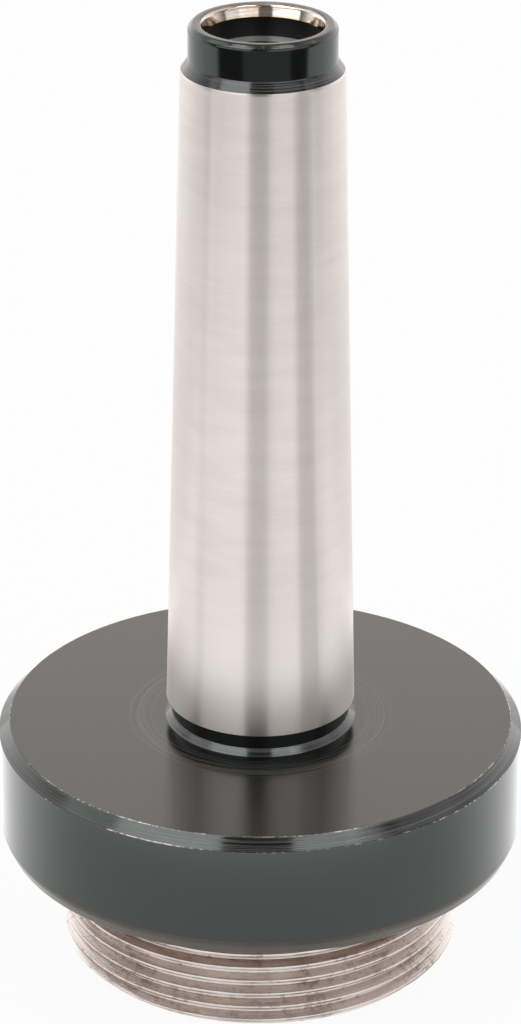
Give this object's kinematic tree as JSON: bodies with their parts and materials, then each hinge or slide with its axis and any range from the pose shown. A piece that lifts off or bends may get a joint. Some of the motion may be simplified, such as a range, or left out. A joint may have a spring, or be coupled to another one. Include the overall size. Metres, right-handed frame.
{
  "type": "morse taper arbor",
  "caption": "One-piece tool arbor: ground Morse taper shank with a drawbar thread, round flange and a short threaded spigot that carries a tool head.",
  "frame": {"origin": "centre of the end face of the threaded spigot", "axes": "+Z along the arbor's axis, from the threaded spigot up to the drawbar end of the shank; the piece stands on the spigot's end face"},
  "size_m": [0.05, 0.05, 0.0922],
  "materials": {
    "steel": "ground taper and turned thread bare, collar, neck and flange black oxide"
  },
  "bodies": {
    "root": {"arbor": "steel"}
  },
  "joints": []
}
